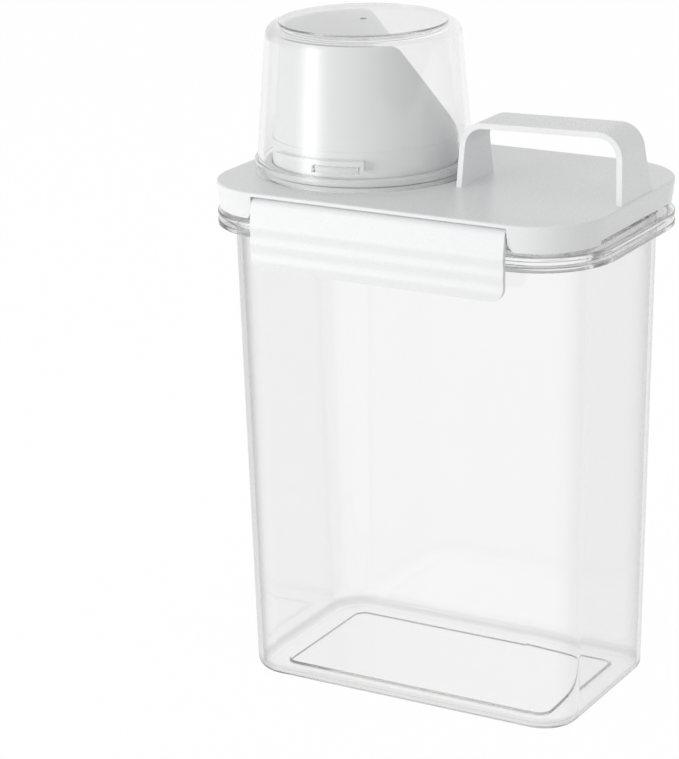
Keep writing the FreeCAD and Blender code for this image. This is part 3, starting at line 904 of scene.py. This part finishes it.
@dataclass
class MeasuringCup:
    """The clear cup that stands upside down over the spout."""

    finish: bpy.types.Material
    middle: float
    bottom: float = 190.3
    rim_top: float = 194.6
    top: float = 244.4
    ceiling: float = 241.7
    rim_radius: float = 40.1
    radius: float = 39.2
    top_radius: float = 35.1
    wall: float = 1.9
    wall_heights: tuple[float, float, float] = (206.0, 218.0, 230.0)
    step_radius: float = 30.5
    step: float = 0.7
    edge_round: float = 4.4
    edge_steps: int = 8
    inner_round: float = 3.0
    inner_steps: int = 5
    rim_round: float = 0.4
    gate_radius: float = 1.3
    gate_depth: float = 0.9
    lug_heights: tuple[float, float] = (196.4, 198.7)
    lug_angles: tuple[float, float] = (-91.0, -64.0)
    lug_radius: float = 34.0
    lug_round: float = 1.0
    lug_steps: int = 5

    def wall_radius(self, height: float) -> float:
        """The outside radius of the tapered wall at a height."""
        share = (height - self.rim_top) / (self.top - self.rim_top)
        return self.radius + (self.top_radius - self.radius) * share

    def profile(self) -> Points:
        """The section from the gate mark over the outside to the ceiling's middle.

        Returns:
            Radius and height of each ring.
        """
        edge = self.top - self.step
        shoulder = edge - self.edge_round
        rounded = self.wall_radius(shoulder) - self.edge_round
        heights = (self.rim_top, *self.lug_heights, *self.wall_heights)
        corner = self.ceiling - self.inner_round
        inside = self.wall_radius(corner) - self.wall - self.inner_round
        return [
            (self.gate_radius, self.top - self.gate_depth), (self.gate_radius, self.top),
            (self.step_radius, self.top), (self.step_radius, edge),
            *((rounded + out, shoulder + up)
              for out, up in quarter(self.edge_round, self.edge_steps)),
            *((self.wall_radius(height), height) for height in reversed(self.wall_heights)),
            (self.radius, self.rim_top), (self.rim_radius, self.rim_top),
            (self.rim_radius, self.bottom), (self.radius - self.wall, self.bottom),
            *((self.wall_radius(height) - self.wall, height) for height in heights),
            *((inside + up, corner + out)
              for out, up in quarter(self.inner_round, self.inner_steps)),
        ]

    def build(self) -> None:
        """Model the cup, draw its lugs out of the wall and put it in place of its node."""
        first, last = self.lug_angles
        low, high = self.lug_heights
        half = (low + high) / 2

        def in_lug(place: Vector) -> bool:
            """Tell where a lug stands on the inner wall.

            Args:
                place: a face's middle.

            Returns:
                Whether the face lies there.
            """
            radius, angle = polar(place, self.middle)
            inner = self.wall_radius(place.z) - self.wall / 2
            turned = (angle - first) % HALF_TURN
            return low < place.z < high and turned < last - first and radius < inner

        def at_lug_corner(near: Vector, far: Vector) -> bool:
            """Tell an edge that runs from the wall to the face of a lug, at a corner.

            Args:
                near: one end of the edge.
                far: its other end.

            Returns:
                Whether it does.
            """
            reach = abs(polar(near, self.middle)[0] - polar(far, self.middle)[0])
            level = abs(near.z - far.z) < LEVEL and low - SLACK < near.z < high + SLACK
            return level and reach > self.wall

        piece = turn_profile("measuring_cup_shell", self.middle, self.profile(), first=first,
                             capped=True)
        share = self.lug_radius / (self.wall_radius(half) - self.wall)
        draw_out(piece, in_lug, Vector((self.middle, 0.0, half)), share)
        round_edges(piece, at_lug_corner, self.lug_round, self.lug_steps, clamped=False)
        soften(piece, self.rim_round, sharpest=CHORD_CREASE)
        dress(piece, "measuring_cup", "measuring_cup", self.finish)


@dataclass
class Spout:
    """The white pouring spout that is clipped into the lid."""

    finish: bpy.types.Material
    middle: float
    lid_top: float = 190.0
    underside: float = 187.8
    wall: float = 1.8
    spigot: float = 29.6
    flange: float = 36.0
    flange_height: float = 1.2
    collar: float = 33.6
    collar_top: float = 203.2
    step: float = 0.4
    taper: float = 3.25
    top: float = 240.2
    bead: tuple[float, float, float] = (0.8, 0.9, 0.3)
    turn: float = 38.0
    turn_steps: int = 240
    cut_start: float = 6.95
    cut_round: float = 5.0
    cutter_half: float = 50.0
    lip_round: float = 0.8
    rib_heights: tuple[float, float] = (199.0, 200.6)
    rib_angles: tuple[float, float] = (-120.0, -61.5)
    rib_radius: float = 36.3
    stop_bottom: float = 196.8
    stop_span: float = 1.5
    edge_round: float = 0.3
    edge_crease: float = 35.0

    def profile(self) -> Points:
        """The section once round the wall.

        Returns:
            Radius and height of each ring.
        """
        bore = self.spigot - self.wall
        reach, height, gap = self.bead
        bead_top = self.underside - gap
        bead_bottom = bead_top - height
        tail = bead_bottom - height
        flange_top = self.lid_top + self.flange_height
        foot = self.collar - self.step
        tip = foot - self.taper
        return [
            (bore, tail), (self.spigot - gap, tail), (self.spigot + reach, bead_bottom),
            (self.spigot + reach, bead_top), (self.spigot, bead_top), (self.spigot, self.lid_top),
            (self.flange, self.lid_top), (self.flange, flange_top), (self.collar, flange_top),
            (self.collar, self.stop_bottom), (self.collar, self.rib_heights[0]),
            (self.collar, self.rib_heights[1]), (self.collar, self.collar_top),
            (foot, self.collar_top), (tip, self.top), (tip - self.wall, self.top),
            (foot - self.wall, self.collar_top), (foot - self.wall, flange_top + self.wall),
            (bore, flange_top), (bore, tail),
        ]

    def lip_cutter(self) -> bpy.types.Object:
        """Model the wedge that slants the lip, with its upper corner rounded.

        Returns:
            The closed wedge.
        """
        facing = Matrix.Rotation(math.radians(self.turn), 3, "Z") @ ALONG
        sideways = Vector((-facing.y, facing.x, 0.0))
        beyond = self.collar + self.wall
        above = self.top + self.wall
        outline = rounded_outline([
            (0.0, above, 0.0), (0.0, self.top, 0.0), (self.cut_start, self.top, self.cut_round),
            (self.collar, self.collar_top, 0.0), (beyond, self.collar_top, 0.0),
            (beyond, above, 0.0),
        ])
        start = ALONG * self.middle - sideways * self.cutter_half
        travel = sideways * self.cutter_half * 2
        return extrude_profile("lip_cutter", outline, start, travel, facing)

    def build(self) -> None:
        """Model the spout with its ribs and stops and put it in place of its node."""
        first, last = self.rib_angles
        low, high = self.rib_heights
        span = last - first

        def in_rib(place: Vector) -> bool:
            """Tell where a rib or a stop stands on the collar.

            Args:
                place: a face's middle.

            Returns:
                Whether the face lies there.
            """
            radius, angle = polar(place, self.middle)
            turned = (angle - first) % HALF_TURN
            on_rib = low < place.z < high and turned < span
            on_stop = self.stop_bottom < place.z < low and span - self.stop_span < turned < span
            return (on_rib or on_stop) and radius > self.collar - self.wall / 2

        piece = turn_profile("spout_insert", self.middle, self.profile(), self.turn_steps)
        centre = Vector((self.middle, 0.0, low))
        draw_out(piece, in_rib, centre, self.rib_radius / self.collar)
        combine(piece, self.lip_cutter(), Fold.CUT)
        neck = self.collar_top + self.step
        round_edges(piece, lambda near, far: min(near.z, far.z) > neck, self.lip_round)
        soften(piece, self.edge_round, self.edge_crease)
        dress(piece, "lid", "spout", self.finish)


@dataclass
class CarryHandle:
    """The arched handle, whose legs widen towards the lid."""

    near: float = 11.1
    far: float = 75.0
    top: float = 214.6
    fall: float = 1.6
    lean: float = 2.1
    band: float = 2.1
    corner: float = 9.0
    corner_steps: int = 10
    lid_top: float = 190.0
    sunk: float = 188.9
    foot_half: float = 12.5
    grip_half: float = 9.5
    flare: float = 15.6
    flare_round: float = 14.0
    flare_steps: int = 6
    edge_round: float = 0.35

    def model(self) -> bpy.types.Object:
        """Model the handle, its feet sunk a little into the lid.

        Returns:
            The closed handle.
        """
        far_top, near_top = self.far - self.lean, self.top - self.fall
        inside = self.corner - self.band
        arch = rounded_outline([
            (self.near, self.sunk, 0.0), (self.near, near_top, self.corner),
            (far_top, self.top, self.corner), (self.far, self.lid_top, 0.0),
            (self.far, self.sunk, 0.0), (self.far - self.band, self.sunk, 0.0),
            (self.far - self.band, self.lid_top, 0.0),
            (far_top - self.band, self.top - self.band, inside),
            (self.near + self.band, near_top - self.band, inside),
            (self.near + self.band, self.sunk, 0.0),
        ], self.corner_steps)
        width = ACROSS * (self.foot_half * 2)
        piece = extrude_profile("handle", arch, -width / 2, width, ALONG)
        grip, foot, above = self.grip_half, self.foot_half, self.top + self.band
        below, waist = self.sunk - self.band, self.lid_top + self.flare
        front = rounded_outline([
            (-foot, below, 0.0), (foot, below, 0.0), (foot, self.lid_top, 0.0),
            (grip, waist, self.flare_round), (grip, above, 0.0), (-grip, above, 0.0),
            (-grip, waist, self.flare_round), (-foot, self.lid_top, 0.0),
        ], self.flare_steps)
        travel = ALONG * (self.far + self.near)
        trim = extrude_profile("handle_trim", front, Vector(), travel, ACROSS)
        combine(piece, trim, Fold.KEEP)
        soften(piece, self.edge_round)
        return piece


@dataclass
class Lid:
    """The lid: skirt, latch bays, plug wall, spout hole and handle in one moulding."""

    finish: bpy.types.Material
    hole_middle: float
    handle: CarryHandle
    bottom: float = 180.2
    top: float = 190.0
    crown: Outline = Outline(152.2, 103.4, 26.5)
    draft: float = 1.3
    edge_round: float = 0.9
    edge_steps: int = 5
    hollow: Outline = Outline(145.6, 88.0, 18.8)
    underside: float = 187.8
    plug: Outline = Outline(135.1, 81.1, 15.35)
    plug_wall: float = 1.6
    plug_bottom: float = 176.2
    hole: float = 29.9
    bay_back: float = 46.0
    bay_half: float = 50.3
    bay_flare: float = 2.0
    bay_flare_top: float = 182.7
    bay_ceiling: float = 188.6
    hinge_depth: float = 49.0
    hinge_height: float = 185.4
    bore: float = 1.2
    bore_reach: float = 52.7
    notch_half: float = 28.0
    notch_height: float = 1.5
    notch_reach: float = 6.0
    hem_round: float = 0.35
    foot_blend: float = 0.8

    def levels(self) -> list[Level]:
        """The section from the top's middle, round skirt and plug, to the underside's middle.

        Returns:
            The rings in order.
        """
        found = []
        for out, up in quarter(self.edge_round, self.edge_steps):
            height = self.top - self.edge_round + up
            lean = self.draft * (self.top - height) / (self.top - self.bottom)
            found.append(Level(height, self.crown.grown(out - self.edge_round - lean)))
        inside = self.plug.grown(-self.plug_wall)
        return found + [
            Level(self.bottom, self.crown.grown(-self.draft)), Level(self.bottom, self.hollow),
            Level(self.underside, self.hollow), Level(self.underside, self.plug),
            Level(self.plug_bottom, self.plug), Level(self.plug_bottom, inside),
            Level(self.underside, inside),
        ]

    def cut_bay(self, piece: bpy.types.Object, side: Side) -> None:
        """Cut the bay and the pin bores for the latch on one side.

        Args:
            piece: the lid.
            side: the latch's side.
        """
        half, wide, below = self.bay_half, self.bay_half + self.bay_flare, self.bottom - BEYOND
        outline = [
            (-wide, below), (wide, below), (wide, self.bottom), (half, self.bay_flare_top),
            (half, self.bay_ceiling), (-half, self.bay_ceiling), (-half, self.bay_flare_top),
            (-wide, self.bottom),
        ]
        outwards = ACROSS * side.value
        travel = outwards * (self.crown.width / 2 - self.bay_back + BEYOND)
        bay = extrude_profile("bay", outline, outwards * self.bay_back, travel, ALONG)
        depth = self.hinge_depth * side.value
        bores = rod("bores", self.bore, self.bore_reach, depth, self.hinge_height)
        for cutter in (bay, bores):
            combine(piece, cutter, Fold.CUT)

    def build(self) -> None:
        """Model the lid, join the handle to it and put it in place of its node."""
        piece = skin_levels("lid_moulding", self.levels())
        for side in Side:
            self.cut_bay(piece, side)
        hole = turn_profile("hole", self.hole_middle, [
            (self.hole, self.plug_bottom), (self.hole, self.top + BEYOND)], capped=True)
        combine(piece, hole, Fold.CUT)
        half, below, above = self.notch_half, self.bottom - BEYOND, self.bottom + self.notch_height
        outline = [(-half, below), (half, below), (half, above), (-half, above)]
        start = ALONG * (self.hollow.length / 2 - BEYOND)
        notch = extrude_profile("notch", outline, start, ALONG * self.notch_reach, ACROSS)
        combine(piece, notch, Fold.CUT)
        soften(piece, self.hem_round)
        combine(piece, self.handle.model(), Fold.ADD)
        first, last = self.handle.near - SLACK, self.handle.far - SLACK

        def at_foot(near: Vector, far: Vector) -> bool:
            """Tell an edge where a leg meets the lid, the outer end left out.

            Args:
                near: one end of the edge.
                far: its other end.

            Returns:
                Whether it does.
            """
            low = max(abs(near.z - self.top), abs(far.z - self.top)) < LEVEL
            beside = max(abs(near.y), abs(far.y)) < self.handle.foot_half + SLACK
            return low and first < min(near.x, far.x) < last and beside

        round_edges(piece, at_foot, self.foot_blend)
        shade(piece)
        dress(piece, "lid", "lid", self.finish)


@dataclass
class Latch:
    """A side latch: a waved plate on a barrel with two pins, and a hook for the box's rim."""

    finish: bpy.types.Material
    name: str
    side: Side
    half_width: float = 49.9
    hinge_depth: float = 49.0
    hinge_height: float = 185.4
    barrel: float = 2.7
    barrel_arc: int = 270
    barrel_step: int = 15
    pin: float = 1.1
    pin_end: float = 52.3
    inner: float = 51.0
    outer: float = 53.0
    bottom: float = 162.8
    ridge_top: float = 180.7
    wave: float = 0.35
    waves: int = 3
    wave_steps: int = 10
    corner: float = 5.0
    corner_steps: int = 10
    hook_half: float = 30.0
    hook_top: float = 173.1
    hook_tip: float = 48.9
    hook_height: float = 1.1
    edge_round: float = 0.4

    def section(self) -> Points:
        """The section once round the plate and the barrel.

        Returns:
            Depth and height of each point.
        """
        steps = self.waves * self.wave_steps
        found = [(self.inner, self.bottom)]
        for step in range(steps + 1):
            share = step / steps
            hollow = self.wave * (1.0 + math.cos(math.tau * self.waves * share)) / 2
            rise = (self.ridge_top - self.bottom) * share
            found.append((self.outer - hollow, self.bottom + rise))
        for angle in range(0, self.barrel_arc + 1, self.barrel_step):
            bend = math.radians(angle)
            found.append((self.hinge_depth + self.barrel * math.cos(bend),
                          self.hinge_height + self.barrel * math.sin(bend)))
        return found + [(self.inner, self.ridge_top)]

    def build(self) -> None:
        """Model the latch and put it in place of its node."""
        depth, half, ridge = ACROSS * self.side.value, self.half_width, self.ridge_top
        piece = extrude_profile(f"{self.name}_moulding", self.section(), ALONG * -half,
                                ALONG * half * 2, depth)
        wide, above = half + BEYOND, self.hinge_height + self.barrel * 2
        front = rounded_outline([
            (-half, self.bottom, self.corner), (half, self.bottom, self.corner),
            (half, ridge, 0.0), (wide, ridge, 0.0), (wide, above, 0.0),
            (-wide, above, 0.0), (-wide, ridge, 0.0), (-half, ridge, 0.0),
        ], self.corner_steps)
        trim = extrude_profile("latch_trim", front, depth * (self.hinge_depth - self.barrel * 2),
                               depth * self.barrel * 4, ALONG)
        combine(piece, trim, Fold.KEEP)
        catch = self.hook_top - self.hook_height
        heel = catch - (self.inner - self.hook_tip)
        within = (self.inner + self.outer) / 2
        outline = [(self.hook_tip, self.hook_top), (within, self.hook_top), (within, heel),
                   (self.inner, heel), (self.hook_tip, catch)]
        hook = extrude_profile("hook", outline, ALONG * -self.hook_half,
                               ALONG * self.hook_half * 2, depth)
        pins = rod("pins", self.pin, self.pin_end, depth.y * self.hinge_depth, self.hinge_height)
        for other in (hook, pins):
            combine(piece, other, Fold.ADD)
        soften(piece, self.edge_round)
        dress(piece, self.name, self.name, self.finish)


@dataclass
class Seals:
    """The silicone ring under the lid and the one between the spout and the cup."""

    finish: bpy.types.Material
    cup_middle: float
    inside: Outline = Outline(135.1, 81.1, 15.35)
    gasket_width: float = 3.0
    gasket_heights: tuple[float, float] = (184.5, 187.8)
    gasket_round: float = 0.9
    ring_radii: tuple[float, float] = (33.9, 37.0)
    ring_heights: tuple[float, float] = (191.5, 194.0)
    ring_round: float = 0.7

    def build(self) -> None:
        """Model both rings and put them in place of their nodes."""
        low, high = self.gasket_heights
        inside, outside = self.inside, self.inside.grown(self.gasket_width)
        levels = [Level(low, inside), Level(low, outside), Level(high, outside),
                  Level(high, inside)]
        gasket = skin_levels("lid_seal", levels, hoop=True)
        soften(gasket, self.gasket_round, sharpest=CHORD_CREASE)
        dress(gasket, "lid", "lid_gasket", self.finish)
        (inner, outer), (low, high) = self.ring_radii, self.ring_heights
        profile = [(inner, low), (outer, low), (outer, high), (inner, high), (inner, low)]
        ring = turn_profile("cup_seal", self.cup_middle, profile)
        soften(ring, self.ring_round, sharpest=CHORD_CREASE)
        dress(ring, "cup_ring", "cup_ring", self.finish)


# --------------------------------------------------------------------------------- the studio


@dataclass
class Studio:
    """A plain pale floor, soft light, and the camera, in metres and degrees."""

    floor_side: float = 6.0
    floor_gap: float = 0.0003
    floor_cloud: Noise = Noise(3.0)
    floor_tones: tuple[Tone, Tone] = ((0.88, 0.88, 0.88), (0.9, 0.9, 0.9))
    floor_white: float = 0.94
    floor_glow: float = 1.02
    ambient: float = 0.71
    overhead_fall: float = 0.12
    right_fill: float = 0.08
    left_grey: float = 0.4
    right_grey: float = 0.55
    front_grey: float = 0.15
    band_glow: float = 3.2
    band_focus: float = 42.0
    band_fall: float = 1.6
    band_start: float = 0.7
    band_rise: float = 0.4
    key_place: tuple[float, float, float] = (-0.89, -1.37, 0.3)
    key_side: float = 1.0
    key_power: float = 13.2
    aim_height: float = 0.13
    light_bounces: int = 112
    lens: float = 136.95
    azimuth: float = 30.2414
    elevation: float = 17.9151
    roll: float = -1.1467
    distance: float = 1.05862
    target: tuple[float, float, float] = (-0.0347, -0.01827, 0.11371)

    def band(self, shader: Shader, place: Socket) -> Socket:
        """The upright band of light that glossy and clear pieces mirror, on the key lamp's side.

        Args:
            shader: the shader to build in.
            place: a place on the floor or a direction.

        Returns:
            The band's strength.
        """
        key = Vector((*self.key_place[:2], 0.0)).normalized()
        level = shader.vector("NORMALIZE", shader.vector("MULTIPLY", place, ALONG + ACROSS))
        aligned = shader.vector("DOT_PRODUCT", level, key, output="Value")
        return aligned.clamped() ** self.band_focus * self.band_glow * shader.ray(*MIRRORED)

    def make_floor(self) -> None:
        """Lay a white floor that keeps the object's shadow, with a painted glowing band that glossy
        pieces mirror as a highlight.
        """
        select_nothing()
        place = (0.0, 0.0, -self.floor_gap)
        bpy.ops.mesh.primitive_plane_add(size=self.floor_side, location=place)
        bpy.ops.object.transform_apply()
        floor = bpy.context.object
        floor.name = "floor"
        material = bpy.data.materials.new("floor_paint")
        shader = Shader(material)
        tone = shader.tint(shader.noise(self.floor_cloud), *self.floor_tones)
        paint = shader.node("ShaderNodeBsdfDiffuse", {}, {"Color": tone})
        # painted light: away from the middle, the floor glows in a band towards the key lamp,
        # mirrored by glossy and clear pieces
        away = shader.vector("LENGTH", shader.place(), output="Value")
        far = ((away - self.band_start) / self.band_rise).clamped()
        glow = self.band(shader, shader.place()) * far + self.floor_glow
        white = shader.node("ShaderNodeEmission", {}, {"Color": WHITE, "Strength": glow})
        seen = shader.ray("Is Camera Ray", *MIRRORED)
        shader.finish(shader.mixed(seen * self.floor_white, paint, white))
        material.cycles.emission_sampling = "NONE"
        floor.data.materials.append(material)

    def make_world(self) -> None:
        """Light the object from all round, and show it white that greys to sides and front."""
        world = bpy.data.worlds.new("studio")
        bpy.context.scene.world = world
        shader = Shader(world)
        facing = shader.node("ShaderNodeTexCoord", {}, {}, "Generated")
        along, across, height = shader.parts(facing, "XYZ")
        left, right, front = (along * -1.0).clamped(), along.clamped(), (across * -1.0).clamped()
        level = self.ambient - height.clamped() * self.overhead_fall + right * self.right_fill
        grey = (left ** 2 * self.left_grey + right ** 2 * self.right_grey
                + front ** 2 * self.front_grey)
        fall = (1.0 - height * self.band_fall).clamped()
        glow = 1.0 - grey * shader.ray(*MIRRORED) + self.band(shader, facing) * fall
        plain, around = (shader.node("ShaderNodeBackground", {}, {"Color": WHITE, "Strength": each})
                         for each in (level, glow))
        shader.finish(shader.mixed(shader.ray("Is Camera Ray", *MIRRORED), plain, around))

    def hang_lamp(self) -> None:
        """Hang the soft key lamp and point it at the object."""
        select_nothing()
        bpy.ops.object.light_add(type="AREA", location=self.key_place)
        lamp = bpy.context.object
        lamp.name = "key"
        lamp.data.shape = "SQUARE"
        lamp.data.size = self.key_side
        lamp.data.energy = self.key_power
        lamp.visible_glossy = lamp.visible_transmission = False
        aim = UP * self.aim_height - Vector(self.key_place)
        lamp.rotation_euler = aim.to_track_quat("-Z", "Y").to_euler()

    def make_camera(self) -> None:
        """Set up the camera, rolled a little about its line of sight."""
        turn, tilt, roll = (math.radians(angle)
                            for angle in (self.azimuth, self.elevation, self.roll))
        flat = Vector((math.sin(turn), -math.cos(turn), 0.0))
        back = flat * math.cos(tilt) + UP * math.sin(tilt)
        right = Vector((math.cos(turn), math.sin(turn), 0.0))
        up = back.cross(right)
        rolled_right = right * math.cos(roll) + up * math.sin(roll)
        rolled_up = up * math.cos(roll) - right * math.sin(roll)
        data = bpy.data.cameras.new("camera")
        data.lens = self.lens
        camera = bpy.data.objects.new("camera", data)
        bpy.context.scene.collection.objects.link(camera)
        axes = Matrix((rolled_right, rolled_up, back)).transposed().to_4x4()
        camera.matrix_world = Matrix.Translation(Vector(self.target) + back * self.distance) @ axes
        bpy.context.scene.camera = camera

    def build(self) -> None:
        """Set the whole studio up."""
        self.make_floor()
        self.make_world()
        self.hang_lamp()
        self.make_camera()
        scene = bpy.context.scene
        scene.view_settings.view_transform = "Standard"
        for kind in ("max", "glossy", "transmission"):
            setattr(scene.cycles, f"{kind}_bounces", self.light_bounces)


def main() -> None:
    """Build every piece, put it in place of its node, and set the studio up."""
    logging.basicConfig(level=logging.INFO, format="%(name)s: %(message)s")
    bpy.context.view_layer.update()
    cup_low, cup_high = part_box("measuring_cup")
    middle = (cup_low.x + cup_high.x) / 2 / MM
    white = WhitePlastic("white_satin").make()
    silicone = Silicone("milky_silicone").make()
    cup_plastic = CupPlastic("clear_cup_plastic", middle=middle * MM).make()
    parts = (
        ClearBox(BoxPlastic("clear_box_plastic").make()), MeasuringCup(cup_plastic, middle),
        Spout(white, middle), Lid(white, middle, CarryHandle()),
        Latch(white, "front_latch", Side.FRONT), Latch(white, "rear_latch", Side.REAR),
        Seals(silicone, middle), Studio(),
    )
    for part in parts:
        part.build()
    LOG.info("size file written")


if __name__ == "__main__":
    main()
